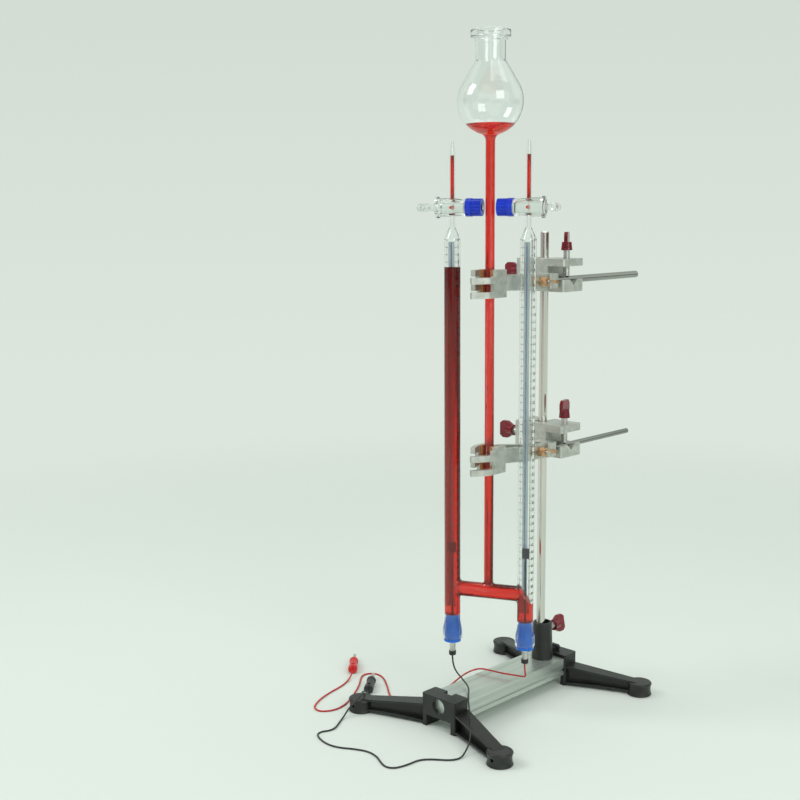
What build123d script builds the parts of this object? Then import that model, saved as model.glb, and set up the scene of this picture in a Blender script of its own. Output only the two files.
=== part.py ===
from build123d import *
from math import cos, pi, radians, sin, sqrt, tan
import os

# Glass voltameter on a small bench stand, in millimetres.
# +Z is up and the table is at Z = 0. The stand's rail runs along Y, and -Y is the front.
# The origin is the middle of the footprint on the table, without the leads.
# The glass H stands in front of the rod and is turned about the vertical by glass_turn.

# Fits
running = 0.05
seat = 0.05
loose = 0.3

# Stand base
rail_width = 44.0
rail_height = 20.0
rail_under = 13.0
rail_length = 207.0
groove_height = 4.0
groove_depth = 2.2
groove_up = 6.5
rod_to_front = 173.5
bracket_width = 48.0
leg_root_x = bracket_width / 2 + 1
bracket_depth = 22.0
bracket_height = 36.7
bracket_face = 5.0
bracket_round = 2.0
rail_room = 0.1
arch_width = 35.2
bracket_bore_r = 8.6
bracket_bore_up = 26.6
notch_width = 12.0
notch_depth = 7.0
foot_spread = 101.0
foot_splay = 29.0
foot_r = 14.0
foot_height = 15.0
foot_waist = 1.2
foot_pin_r = 2.0
leg_root_width = 20.0
leg_tip_width = 13.0
leg_root_top = 24.0
leg_clear = 1.5
leg_web = 5.0
leg_flange = 2.6
leg_arch = 1.5
leg_inside = 3.0

# Rod, its holder and the thumb screw of the rear bracket
rod_r = 5.0
rod_length = 498.5
rod_chamfer = 0.8
rod_y = 37.0
holder_set_back = 3.5
holder_foot_r = 12.4
holder_rim_r = 11.2
holder_height = 44.0
holder_bore_r = 8.6
holder_spigot_r = 10.5
holder_floor = 6.0
holder_screw_up = 34.0
tab_width = 13.6
tab_height = 6.5
tab_thick = 4.0
tab_hole_r = 1.8
tab_shank_r = 2.5
tab_grip = 8.0

# Wing screws
stud_r = 3.5
knob_foot_r = 6.3
knob_foot_height = 9.0
knob_height = 20.0
wing_width = 20.0
wing_thick = 4.0
knob_taper = 6.0
stud_in_knob = 7.0
upper_stem_knob_z = 511.5
lower_stem_knob_z = 324.2
upper_rod_knob_out = 35.5
lower_rod_knob_out = 41.6
holder_knob_out = 24.0
upper_rod_knob_turn = 90.0
lower_rod_knob_turn = 90.0
holder_knob_turn = 80.0

# Boss heads
boss_left = 26.5
boss_right = 40.5
boss_depth = 37.0
boss_height = 36.0
boss_round = 3.0
jaw_height = 13.5
top_plate = 8.0
slot_left = 18.5
groove_cut = 6.4
stem_x = 30.5
rod_slot_left = 8.5
rod_slot_front = 8.0
rod_slot_mouth = 4.5
rod_screw_up = 20.0
upper_boss_z = 466.3
lower_boss_z = 281.0
upper_stem_r = 4.0
lower_stem_r = 3.0
upper_stem_end_y = 173.5
lower_stem_end_y = 161.5

# Clamps, measured from the rod towards the front
stem_start = 22.0
block_left = 14.0
block_right = 37.0
block_front = 37.0
stem_grip = 8.0
pivot_x = 20.5
pivot_front = 30.0
pivot_r = 2.0
eye_r = 5.0
eye_height = 8.0
arm_height = 16.0
arm_thick = 5.0
screw_front = 47.0
jaw_screw_r = 2.5
finger_height = 6.6
finger_pitch = 7.6
jaw_rear = 92.0
jaw_front = 112.0
lower_jaw_drop = 3.0
block_round = 2.0
arm_bend_r = 8.0
bar_front = 39.0
near_arm_x = 30.5
near_bend_front = 62.0
far_bend_front = 58.0
far_bow_x = -1.0
far_bow_front = 79.0
jaw_back_depth = 17.0
jaw_stack = 29.4
finger_bend_r = 8.0
near_curl_front = 118.0
near_tip_x = 8.0
near_tip_front = 135.0
far_curl_front = 112.0
far_tip_x = 3.0
far_tip_front = 126.0
screw_play = 0.9
head_gap = 1.0
head_thick = 3.0
head_r = 4.0
jaw_screw_end_x = 44.0
cork_thick = 3.0
cork_length = 15.0
jaw_wing_span = 28.0
wing_hub_r = 5.5
wing_hub_length = 8.0
wing_hub_taper = 6.0
wing_blade = 3.0
stem_chamfer = 0.6

# Glass
glass_turn = 24.5
glass_x = 7.5
glass_front = 104.0
tube_spacing = 41.6
tube_r = 8.8
tube_wall = 2.2
cross_r = 8.4
cross_z = 141.0
cross_fillet = 3.0
centre_tube_r = 5.0
centre_wall = 1.5
bulb_r = 34.9
bulb_z = 667.8
bulb_wall = 1.8
bulb_flare = 7.0
neck_r = 15.8
neck_foot_z = 709.0
mouth_z = 740.0
glass_parting_heights = (636.0, bulb_z, 706.0)
rim_r = 21.0
rim_height = 8.0
rim_round = 1.5
ring_r = 17.5
ring_height = 3.0
shoulder_turn = 35.0
socket_mouth_r = 10.8
socket_mouth_z = 83.0
socket_neck_z = 93.0
socket_end_z = 103.0
socket_top_z = 110.5
socket_bore_mouth_r = 8.9
socket_bore_top_r = 7.4
shoulder_foot_z = 525.5
shoulder_top_z = 537.5
shoulder_round = 6.0
outlet_round = 3.0
outlet_r = 3.3
outlet_bore_r = 1.4
stopcock_z = 559.0
barrel_r = 9.6
barrel_inner_end = 14.5
barrel_outer_end = 17.0
barrel_flare_r = 11.4
barrel_lip_r = 8.9
key_small_r = 5.7
key_large_r = 7.2
tip_r = 3.0
tip_root_r = 4.2
tip_root_z = 570.0
tip_straight_z = 614.8
tip_z = 628.5
tip_end_r = 1.6
tip_bore_r = 1.3
tip_end_bore_r = 0.8

# Stopcock keys
key_bore_r = 1.3
key_thread_r = 4.0
key_neck_r = 3.4
key_stands_out = 1.5
left_handle_reach = 32.0
right_handle_reach = 27.5
handle_r = 4.4
handle_length = 25.0
handle_round = 1.5
washer_r = 8.0
washer_thick = 1.6
nut_r = 9.2
nut_flange_r = 9.7
nut_flange = 6.0
nut_length = 17.0
nut_flutes = 18
flute_r = 0.7

# Electrodes
plug_head_r = 9.6
plug_head = 3.5
electrode_r = 1.0
electrode_foot_z = 64.6
plate_foot_z = 181.5
plate_height = 11.4
plate_width = 8.0
plate_thick = 1.2
sleeve_r = 3.3
sleeve_length = 12.0
collar_r = 4.0
collar_length = 5.0

# Liquid
liquid_gap = 0.08
pool_z = 645.5
left_level_z = 496.0
right_level_low_z = 131.0
right_level_high_z = 147.0
tip_level_z = 613.0

# Leads
lead_r = 0.9
banana_handle_r = 5.5
banana_handle_length = 30.0
banana_pin_r = 2.0
banana_pin_length = 19.0
banana_pin_grip = 8.0
banana_pin_grip_r = 1.5

# Worked out from the sizes above
rail_top = rail_under + rail_height
rail_front_y = rod_y - rod_to_front
front_bracket_y = rail_front_y - bracket_face + bracket_depth / 2
rear_bracket_y = rail_front_y + rail_length + bracket_face - bracket_depth / 2
holder_y = rod_y + holder_set_back
glass_y = rod_y - glass_front
h_dir = (cos(radians(glass_turn)), sin(radians(glass_turn)))
tube_bore_r = tube_r - tube_wall
centre_bore_r = centre_tube_r - centre_wall
cross_bore_r = cross_r - tube_wall
plug_foot_z = socket_mouth_z - plug_head

os.makedirs("parts", exist_ok=True)


def save(piece, name):
    piece.label = name
    export_step(piece, f"parts/{name}.step")


def parted(whole, planes):
    """The shape as solids that touch at the planes, so that collision follows each of them."""
    pieces = [whole]
    for plane in planes:
        halves = [split(piece, bisect_by=plane, keep=Keep.BOTH) for piece in pieces]
        pieces = [solid for half in halves for solid in half.solids()]
    return Compound(pieces)


def glass_point(across, z, forward=0.0):
    """A point of the glass H: across its plane, up, and towards the front of it."""
    x = glass_x + across * h_dir[0] + forward * h_dir[1]
    y = glass_y + across * h_dir[1] - forward * h_dir[0]
    return (x, y, z)


def glass_plane(across, z, side=1):
    """An upright plane in the H: its X runs along the H, its Y is up."""
    out = (side * h_dir[0], side * h_dir[1], 0)
    normal = (side * h_dir[1], -side * h_dir[0], 0)
    return Plane(origin=glass_point(across, z), x_dir=out, z_dir=normal)


def level_plane(across, z, forward=0.0):
    """A level plane in the glass: its X runs along the H."""
    return Plane(origin=glass_point(across, z, forward), x_dir=(*h_dir, 0), z_dir=(0, 0, 1))


def upright_axis(across):
    return Axis(glass_point(across, 0), (0, 0, 1))


def key_axis(side):
    """The level axis of a stopcock, from its tube outwards."""
    outwards = (side * h_dir[0], side * h_dir[1], 0)
    return Axis(glass_point(side * tube_spacing, stopcock_z), outwards)


def reservoir_section(inset, tube_radius, foot_z, top_z):
    """Half section of the reservoir and centre tube, moved inwards by a wall."""
    round_r = bulb_r - inset
    neck = neck_r - inset
    low = bulb_z - sqrt(round_r**2 - tube_radius**2)
    turn = radians(shoulder_turn)
    shoulder = (round_r * cos(turn), bulb_z + round_r * sin(turn))
    with BuildSketch(glass_plane(0, 0)) as section:
        with BuildLine():
            Polyline((0, foot_z), (tube_radius, foot_z), (tube_radius, low))
            ThreePointArc((tube_radius, low), (round_r, bulb_z), shoulder)
            Polyline(shoulder, (neck, neck_foot_z), (neck, top_z), (0, top_z), (0, foot_z))
        make_face()
        corners = section.vertices()
        fillet([v for v in corners if abs(v.Y - low) < 0.01 and v.X > 1], radius=bulb_flare)
        fillet([v for v in corners if abs(v.Y - neck_foot_z) < 0.01], radius=bulb_flare)
    return section.sketch


def tube_section(across):
    """Half section of one graduated tube with its socket, outlet and tip."""
    with BuildSketch(glass_plane(across, 0)) as section:
        with BuildLine():
            Polyline(
                (0, socket_mouth_z),
                (socket_mouth_r, socket_mouth_z),
                (socket_mouth_r, socket_neck_z),
                (tube_r, socket_end_z),
                (tube_r, shoulder_foot_z),
                (outlet_r, shoulder_top_z),
                (outlet_r, stopcock_z),
                (tip_root_r, stopcock_z),
                (tip_r, tip_root_z),
                (tip_r, tip_straight_z),
                (tip_end_r, tip_z),
                (0, tip_z),
                (0, socket_mouth_z),
            )
        make_face()
        bends = [v for v in section.vertices() if abs(v.Y - shoulder_foot_z) < 0.01]
        fillet(bends, radius=shoulder_round)
        bends = [v for v in section.vertices() if abs(v.Y - shoulder_top_z) < 0.01]
        fillet(bends, radius=outlet_round)
        bends = [v for v in section.vertices() if abs(v.Y - socket_neck_z) < 0.01]
        fillet(bends, radius=outlet_round)
    return section.sketch


def tube_cavity(across):
    """Half section of what is hollow in one graduated tube, up to the stopcock."""
    with BuildSketch(glass_plane(across, 0)) as section:
        with BuildLine():
            Polyline(
                (0, socket_mouth_z),
                (socket_bore_mouth_r, socket_mouth_z),
                (socket_bore_top_r, socket_top_z),
                (tube_bore_r, socket_top_z),
                (tube_bore_r, shoulder_foot_z),
                (outlet_bore_r, shoulder_top_z),
                (outlet_bore_r, stopcock_z),
                (0, stopcock_z),
                (0, socket_mouth_z),
            )
        make_face()
    return section.sketch


def tip_cavity(across):
    """Half section of the bore of a tip, from the stopcock to its end."""
    with BuildSketch(glass_plane(across, 0)) as section:
        with BuildLine():
            Polyline(
                (0, stopcock_z),
                (tip_bore_r, stopcock_z),
                (tip_bore_r, tip_straight_z),
                (tip_end_bore_r, tip_z),
                (0, tip_z),
                (0, stopcock_z),
            )
        make_face()
    return section.sketch


def barrel_section(side):
    """Half section of a stopcock barrel about its level axis."""
    with BuildSketch(glass_plane(side * tube_spacing, stopcock_z, side)) as section:
        with BuildLine():
            Polyline(
                (-barrel_inner_end, 0),
                (-barrel_inner_end, barrel_lip_r),
                (-barrel_inner_end + 2, barrel_lip_r),
                (-barrel_inner_end + 4, barrel_r - 0.9),
                (0, barrel_r),
                (barrel_outer_end - 4, barrel_r + 0.4),
                (barrel_outer_end - 2, barrel_flare_r),
                (barrel_outer_end, barrel_flare_r),
                (barrel_outer_end, 0),
                (-barrel_inner_end, 0),
            )
        make_face()
    return section.sketch


def key_radius(out):
    """Radius of the ground taper at a distance along the key's axis."""
    share = (out + barrel_inner_end) / (barrel_inner_end + barrel_outer_end)
    return key_small_r + share * (key_large_r - key_small_r)


def key_hole(side):
    """Half section of the ground taper in a barrel."""
    inner, outer = -barrel_inner_end, barrel_outer_end
    with BuildSketch(glass_plane(side * tube_spacing, stopcock_z, side)) as section:
        with BuildLine():
            Polyline(
                (inner, 0), (inner, key_radius(inner)), (outer, key_radius(outer)),
                (outer, 0), (inner, 0),
            )
        make_face()
    return section.sketch


# Glass: reservoir, centre tube, cross tube, graduated tubes, stopcock barrels and tips
cross_start = Plane(origin=glass_point(-tube_spacing, cross_z), z_dir=(*h_dir, 0))
with BuildPart() as glass_body:
    with BuildSketch(cross_start):
        Circle(cross_r)
    extrude(amount=2 * tube_spacing)
    for across in (-tube_spacing, tube_spacing):
        revolve(tube_section(across), axis=upright_axis(across))
    revolve(reservoir_section(0, centre_tube_r, cross_z, mouth_z), axis=upright_axis(0))
    plain = (GeomType.LINE, GeomType.CIRCLE)
    joins = glass_body.edges().filter_by(lambda e: e.geom_type not in plain)
    fillet([e for e in joins if e.center().Z < cross_z + 2 * cross_r], radius=cross_fillet)
    with BuildSketch(level_plane(0, mouth_z - rim_height)):
        Circle(rim_r)
    extrude(amount=rim_height)
    fillet(glass_body.edges().filter_by(GeomType.CIRCLE).filter_by(
        lambda e: abs(e.radius - rim_r) < 0.01), radius=rim_round)
    with BuildSketch(level_plane(0, mouth_z - rim_height - ring_height)):
        Circle(ring_r)
    extrude(amount=ring_height)
    for side in (-1, 1):
        revolve(barrel_section(side), axis=key_axis(side))
    for across in (-tube_spacing, tube_spacing):
        revolve(tube_cavity(across), axis=upright_axis(across), mode=Mode.SUBTRACT)
        revolve(tip_cavity(across), axis=upright_axis(across), mode=Mode.SUBTRACT)
    hollow = reservoir_section(bulb_wall, centre_bore_r, cross_z, mouth_z)
    revolve(hollow, axis=upright_axis(0), mode=Mode.SUBTRACT)
    with BuildSketch(cross_start):
        Circle(cross_bore_r)
    extrude(amount=2 * tube_spacing, mode=Mode.SUBTRACT)
    for side in (-1, 1):
        revolve(key_hole(side), axis=key_axis(side), mode=Mode.SUBTRACT)
glass_partings = [level_plane(0, height) for height in glass_parting_heights]
save(parted(glass_body.part, glass_partings), "glass_body")


# Stopcock keys with their washers and nuts
def stopcock_key(side, reach):
    """A ground key: taper with its hole, threaded end, neck and cross handle."""
    plane = glass_plane(side * tube_spacing, stopcock_z, side)
    inner, outer = -barrel_inner_end, barrel_outer_end + key_stands_out
    thread_end = inner - washer_thick - nut_length - 1
    with BuildPart() as key:
        with BuildSketch(plane):
            with BuildLine():
                Polyline(
                    (thread_end, 0),
                    (thread_end, key_thread_r),
                    (inner, key_thread_r),
                    (inner, key_radius(inner) - running),
                    (outer, key_radius(outer) - running),
                    (outer, key_neck_r),
                    (reach, key_neck_r),
                    (reach, 0),
                    (thread_end, 0),
                )
            make_face()
        revolve(axis=key_axis(side))
        with BuildSketch(Plane(origin=plane.from_local_coords((reach, 0, 0)), z_dir=plane.z_dir)):
            Circle(handle_r)
        extrude(amount=handle_length / 2, both=True)
        ends = key.edges().filter_by(GeomType.CIRCLE)
        fillet(ends.filter_by(lambda e: abs(e.radius - handle_r) < 0.01), radius=handle_round)
        with BuildSketch(plane):
            Circle(key_bore_r)
        extrude(amount=2 * key_large_r, both=True, mode=Mode.SUBTRACT)
    return key.part


def key_washer(side):
    plane = glass_plane(side * tube_spacing, stopcock_z, side)
    start = plane.from_local_coords((-barrel_inner_end - running, 0, 0))
    with BuildPart() as washer:
        with BuildSketch(Plane(origin=start, z_dir=-plane.x_dir)):
            Circle(washer_r)
            Circle(key_thread_r + seat, mode=Mode.SUBTRACT)
        extrude(amount=washer_thick)
    return washer.part


def key_nut(side):
    """A fluted nut with a flange at the barrel's side."""
    plane = glass_plane(side * tube_spacing, stopcock_z, side)
    out = -barrel_inner_end - running - washer_thick
    start = Plane(origin=plane.from_local_coords((out, 0, 0)), z_dir=-plane.x_dir)
    with BuildPart() as nut:
        with BuildSketch(start):
            Circle(nut_r)
            with PolarLocations(nut_r, nut_flutes):
                Circle(flute_r, mode=Mode.SUBTRACT)
        extrude(amount=nut_length)
        with BuildSketch(start):
            Circle(nut_flange_r)
        extrude(amount=nut_flange)
        with BuildSketch(start):
            Circle(key_thread_r + seat)
        extrude(amount=nut_length, mode=Mode.SUBTRACT)
    return nut.part


for side, name, reach in ((-1, "left", left_handle_reach), (1, "right", right_handle_reach)):
    save(stopcock_key(side, reach), f"{name}_stopcock_key")
    save(key_washer(side), f"{name}_key_washer")
    save(key_nut(side), f"{name}_key_nut")


# Electrodes: plug, rod, plate, contact sleeve and collar
def turned(across, outline):
    """A piece turned about a graduated tube's axis from half of its section."""
    with BuildPart() as piece:
        with BuildSketch(glass_plane(across, 0)):
            with BuildLine():
                Polyline(*outline, outline[0])
            make_face()
        revolve(axis=upright_axis(across))
    return piece.part


rod_hole_r = electrode_r + seat
for side, name in ((-1, "left"), (1, "right")):
    across = side * tube_spacing
    save(turned(across, (
        (rod_hole_r, plug_foot_z),
        (plug_head_r, plug_foot_z),
        (plug_head_r, socket_mouth_z - seat),
        (socket_bore_mouth_r - seat, socket_mouth_z - seat),
        (socket_bore_top_r - seat, socket_top_z),
        (rod_hole_r, socket_top_z),
    )), f"{name}_electrode_plug")
    save(turned(across, (
        (0, electrode_foot_z),
        (electrode_r, electrode_foot_z),
        (electrode_r, plate_foot_z),
        (0, plate_foot_z),
    )), f"{name}_electrode_rod")
    save(turned(across, (
        (rod_hole_r, plug_foot_z - sleeve_length),
        (sleeve_r, plug_foot_z - sleeve_length),
        (sleeve_r, plug_foot_z),
        (rod_hole_r, plug_foot_z),
    )), f"{name}_contact_sleeve")
    collar_top = plug_foot_z - sleeve_length
    save(turned(across, (
        (0, collar_top - collar_length),
        (collar_r - 0.6, collar_top - collar_length),
        (collar_r, collar_top - collar_length + 0.6),
        (collar_r, collar_top),
        (rod_hole_r, collar_top),
        (rod_hole_r, electrode_foot_z - 0.1),
        (0, electrode_foot_z - 0.1),
    )), f"{name}_lead_collar")
    with BuildPart() as plate:
        with BuildSketch(level_plane(across, plate_foot_z)):
            Rectangle(plate_width, plate_thick)
        extrude(amount=plate_height)
    save(plate.part, f"{name}_electrode_plate")


# Liquid, a little smaller than what is hollow, and what stands in the tips
with BuildPart() as indicator_liquid:
    filled = reservoir_section(
        bulb_wall + liquid_gap, centre_bore_r - liquid_gap, cross_z, mouth_z)
    revolve(filled, axis=upright_axis(0))
    with BuildSketch(level_plane(0, pool_z)):
        Circle(bulb_r)
    extrude(amount=mouth_z, mode=Mode.SUBTRACT)
    with BuildSketch(cross_start):
        Circle(cross_bore_r - liquid_gap)
    extrude(amount=2 * tube_spacing)
    for across, top in ((-tube_spacing, left_level_z), (tube_spacing, right_level_high_z)):
        with BuildSketch(level_plane(across, socket_top_z + liquid_gap)):
            Circle(tube_bore_r - liquid_gap)
        extrude(amount=top - socket_top_z - liquid_gap)
    with BuildSketch(glass_plane(tube_spacing, 0)):
        Polygon(
            (-tube_bore_r, right_level_high_z),
            (tube_bore_r, right_level_low_z),
            (tube_bore_r, right_level_high_z + 9),
            (-tube_bore_r, right_level_high_z + 9),
            align=None,
        )
    extrude(amount=tube_r, both=True, mode=Mode.SUBTRACT)
    with BuildSketch(level_plane(-tube_spacing, socket_top_z)):
        Circle(electrode_r + liquid_gap)
    extrude(amount=plate_foot_z - socket_top_z, mode=Mode.SUBTRACT)
    with BuildSketch(level_plane(tube_spacing, socket_top_z)):
        Circle(electrode_r + liquid_gap)
    extrude(amount=plate_foot_z - socket_top_z, mode=Mode.SUBTRACT)
    with BuildSketch(level_plane(-tube_spacing, plate_foot_z - liquid_gap)):
        Rectangle(plate_width + 2 * liquid_gap, plate_thick + 2 * liquid_gap)
    extrude(amount=plate_height + 2 * liquid_gap, mode=Mode.SUBTRACT)
    for across in (-tube_spacing, tube_spacing):
        with BuildSketch(level_plane(across, stopcock_z + key_large_r + loose)):
            Circle(tip_bore_r - liquid_gap)
        extrude(amount=tip_level_z - stopcock_z - key_large_r - loose)
save(indicator_liquid.part, "indicator_liquid")


# Rail
with BuildPart() as base_rail:
    with BuildSketch(Plane(origin=(0, rail_front_y, rail_under), z_dir=(0, 1, 0), x_dir=(1, 0, 0))):
        with Locations((0, -rail_height / 2)):
            Rectangle(rail_width, rail_height)
        for side in (-1, 1):
            with Locations((side * (rail_width / 2 - groove_depth / 2), -groove_up)):
                Rectangle(groove_depth, groove_height, mode=Mode.SUBTRACT)
    extrude(amount=rail_length)
    with BuildSketch(Plane(origin=(0, holder_y, rail_top - holder_floor))):
        Circle(holder_spigot_r)
    extrude(amount=holder_floor, mode=Mode.SUBTRACT)
    with BuildSketch(Plane(origin=(0, rear_bracket_y, rail_top - tab_grip))):
        Circle(tab_shank_r + running)
    extrude(amount=tab_grip, mode=Mode.SUBTRACT)
save(base_rail.part, "base_rail")


# Brackets: each one casting with its two legs and feet
def leg_plane(side, facing):
    """An upright plane along a leg, from the bracket's side to the foot."""
    along = Vector(side * (foot_spread - bracket_width / 2), facing * foot_splay, 0).normalized()
    root = (side * bracket_width / 2, 0, 0)
    return Plane(origin=root, x_dir=along, z_dir=(along.Y, -along.X, 0))


def leg(side, facing):
    """A leg with an upright web between a sloping top flange and a bottom flange."""
    upright = leg_plane(side, facing)
    length = sqrt((foot_spread - bracket_width / 2) ** 2 + foot_splay**2)
    level = Plane(origin=upright.origin, x_dir=upright.x_dir, z_dir=(0, 0, 1))
    slope = (leg_root_top - foot_height) / length
    back_top = leg_root_top + leg_inside * slope
    with BuildPart() as beam:
        with BuildSketch(upright):
            with BuildLine():
                Polyline((-leg_inside, back_top), (length, foot_height))
                Line((length, foot_height), (length, foot_height - leg_flange))
                Line((length, foot_height - leg_flange), (-leg_inside, back_top - leg_flange))
                Line((-leg_inside, back_top - leg_flange), (-leg_inside, back_top))
            make_face()
            with BuildLine():
                ThreePointArc((-leg_inside, leg_clear), (length / 2, leg_clear + leg_arch),
                              (length, leg_clear))
                Line((length, leg_clear), (length, leg_clear + leg_flange))
                ThreePointArc((length, leg_clear + leg_flange),
                              (length / 2, leg_clear + leg_arch + leg_flange),
                              (-leg_inside, leg_clear + leg_flange))
                Line((-leg_inside, leg_clear + leg_flange), (-leg_inside, leg_clear))
            make_face()
        extrude(amount=leg_root_width, both=True)
        with BuildSketch(level):
            Polygon(
                (-leg_inside, -leg_root_width / 2),
                (length, -leg_tip_width / 2),
                (length, leg_tip_width / 2),
                (-leg_inside, leg_root_width / 2),
                align=None,
            )
        extrude(amount=bracket_height, mode=Mode.INTERSECT)
        with BuildSketch(upright):
            with BuildLine():
                Polyline((-leg_inside, leg_clear), (-leg_inside, back_top), (length, foot_height),
                         (length, leg_clear))
                ThreePointArc((length, leg_clear), (length / 2, leg_clear + leg_arch),
                              (-leg_inside, leg_clear))
            make_face()
        extrude(amount=leg_web / 2, both=True)
    return beam.part


def foot(side, facing):
    """A waisted round foot with a small hole that faces outwards."""
    centre = (side * foot_spread, facing * foot_splay, 0)
    with BuildPart() as pad:
        with BuildSketch(Plane(origin=centre, x_dir=(1, 0, 0), z_dir=(0, -1, 0))):
            with BuildLine():
                Polyline((0, foot_height), (0, 0), (foot_r - 0.8, 0), (foot_r, 0.8))
                ThreePointArc((foot_r, 0.8), (foot_r - foot_waist, foot_height / 2),
                              (foot_r, foot_height - 2))
                ThreePointArc((foot_r, foot_height - 2), (foot_r - 0.6, foot_height - 0.6),
                              (foot_r - 2, foot_height))
                Line((foot_r - 2, foot_height), (0, foot_height))
            make_face()
        revolve(axis=Axis(centre, (0, 0, 1)))
        hole = (centre[0], centre[1], foot_height / 2 + 0.5)
        with BuildSketch(Plane(origin=hole, z_dir=(0, facing, 0))):
            Circle(foot_pin_r)
        extrude(amount=foot_r, mode=Mode.SUBTRACT)
    return pad.part


def bracket(facing):
    """A bracket about its own middle: facing is -1 for the front one, 1 for the rear one."""
    legs = [leg(side, facing) for side in (-1, 1)]
    feet = [foot(side, facing) for side in (-1, 1)]
    outer = facing * bracket_depth / 2
    with BuildPart() as block:
        with BuildSketch(Plane.XY):
            RectangleRounded(bracket_width, bracket_depth, bracket_round)
        extrude(amount=bracket_height)
        for beam in legs:
            add(beam)
        with BuildSketch(Plane(origin=(0, outer, 0), x_dir=(facing, 0, 0), z_dir=(0, -facing, 0))):
            with Locations((0, rail_under / 2)):
                Rectangle(arch_width, rail_under)
        extrude(amount=bracket_depth, mode=Mode.SUBTRACT)
        inner = Plane(origin=(0, outer - facing * bracket_face, 0), x_dir=(facing, 0, 0),
                      z_dir=(0, -facing, 0))
        with BuildSketch(inner):
            with Locations((0, rail_under + rail_height / 2)):
                Rectangle(rail_width + 2 * rail_room, rail_height)
        extrude(amount=bracket_depth, mode=Mode.SUBTRACT)
        with BuildSketch(Plane(origin=(0, outer, bracket_bore_up), z_dir=(0, -facing, 0))):
            Circle(bracket_bore_r)
        extrude(amount=bracket_face, mode=Mode.SUBTRACT)
        notch_y = -outer + facing * notch_depth / 2
        with BuildSketch(Plane(origin=(0, notch_y, rail_top))):
            Rectangle(notch_width, notch_depth)
        extrude(amount=bracket_height, mode=Mode.SUBTRACT)
        for pad in feet:
            add(pad)
    return block.part


leg_roots = [Plane.YZ.offset(-leg_root_x), Plane.YZ.offset(leg_root_x)]
front_bracket = Plane(origin=(0, front_bracket_y, 0)).location * bracket(-1)
save(parted(front_bracket, leg_roots), "front_bracket")
plain_rear = Plane(origin=(0, rear_bracket_y, 0)).location * bracket(1)
with BuildPart() as rear_bracket:
    add(plain_rear)
    with BuildSketch(Plane(origin=(0, rear_bracket_y, rail_top))):
        Circle(tab_shank_r + running)
    extrude(amount=bracket_height, mode=Mode.SUBTRACT)
save(parted(rear_bracket.part, leg_roots), "rear_bracket")

with BuildPart() as bracket_thumb_screw:
    with BuildSketch(Plane(origin=(0, rear_bracket_y, rail_top - tab_grip + 0.5))):
        Circle(tab_shank_r)
    extrude(amount=tab_grip - 0.5 + bracket_height - rail_top)
    with BuildSketch(Plane(origin=(0, rear_bracket_y - tab_thick / 2, bracket_height),
                           x_dir=(1, 0, 0), z_dir=(0, 1, 0))) as tab:
        with Locations((0, -tab_height / 2)):
            RectangleRounded(tab_width, tab_height, tab_height / 2 - 0.3)
            Circle(tab_hole_r, mode=Mode.SUBTRACT)
    extrude(amount=tab_thick)
save(bracket_thumb_screw.part, "bracket_thumb_screw")


# Rod and its holder
with BuildPart() as stand_rod:
    with BuildSketch(Plane(origin=(0, rod_y, rail_top))):
        Circle(rod_r)
    extrude(amount=rod_length)
    chamfer(stand_rod.edges().filter_by(GeomType.CIRCLE), length=rod_chamfer)
save(stand_rod.part, "stand_rod")

with BuildPart() as rod_holder:
    with BuildSketch(Plane(origin=(0, holder_y, 0), x_dir=(1, 0, 0), z_dir=(0, -1, 0))):
        with BuildLine():
            Polyline(
                (0, rail_top - holder_floor + seat),
                (holder_spigot_r - seat, rail_top - holder_floor + seat),
                (holder_spigot_r - seat, rail_top),
                (holder_foot_r, rail_top),
                (holder_rim_r, rail_top + holder_height - 1),
                (holder_rim_r - 1, rail_top + holder_height),
                (holder_bore_r, rail_top + holder_height),
                (holder_bore_r, rail_top),
                (0, rail_top),
                (0, rail_top - holder_floor + seat),
            )
        make_face()
    revolve(axis=Axis((0, holder_y, 0), (0, 0, 1)))
    with BuildSketch(Plane(origin=(0, holder_y, rail_top + holder_screw_up), z_dir=(0, 1, 0))):
        Circle(stud_r + running)
    extrude(amount=2 * holder_foot_r, mode=Mode.SUBTRACT)
save(rod_holder.part, "rod_holder")


# Wing screws: a knob of plastic on a steel stud
def wing_knob(base, turn):
    """A knob that stands on its base plane, with its wings turned about the screw."""
    x_dir = base.x_dir * cos(radians(turn)) + base.y_dir * sin(radians(turn))
    wings = Plane(origin=base.origin, x_dir=x_dir, z_dir=x_dir.cross(base.z_dir))
    half = wing_width / 2
    with BuildPart() as knob:
        with BuildSketch(base):
            Circle(knob_foot_r)
        extrude(amount=knob_foot_height, taper=knob_taper)
        with BuildSketch(wings) as blade:
            Polygon(
                (-knob_foot_r + 1, 1),
                (knob_foot_r - 1, 1),
                (half, knob_foot_height),
                (half, knob_height - 4),
                (half - 3, knob_height),
                (-half + 3, knob_height),
                (-half, knob_height - 4),
                (-half, knob_foot_height),
                align=None,
            )
            fillet(blade.vertices(), radius=1)
        extrude(amount=wing_thick / 2, both=True)
        with BuildSketch(base):
            Circle(stud_r + seat)
        extrude(amount=stud_in_knob, mode=Mode.SUBTRACT)
    return knob.part


def wing_stud(base, reach):
    with BuildPart() as stud:
        with BuildSketch(base):
            Circle(stud_r)
        extrude(amount=stud_in_knob)
        with BuildSketch(base):
            Circle(stud_r)
        extrude(amount=-reach)
    return stud.part


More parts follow.
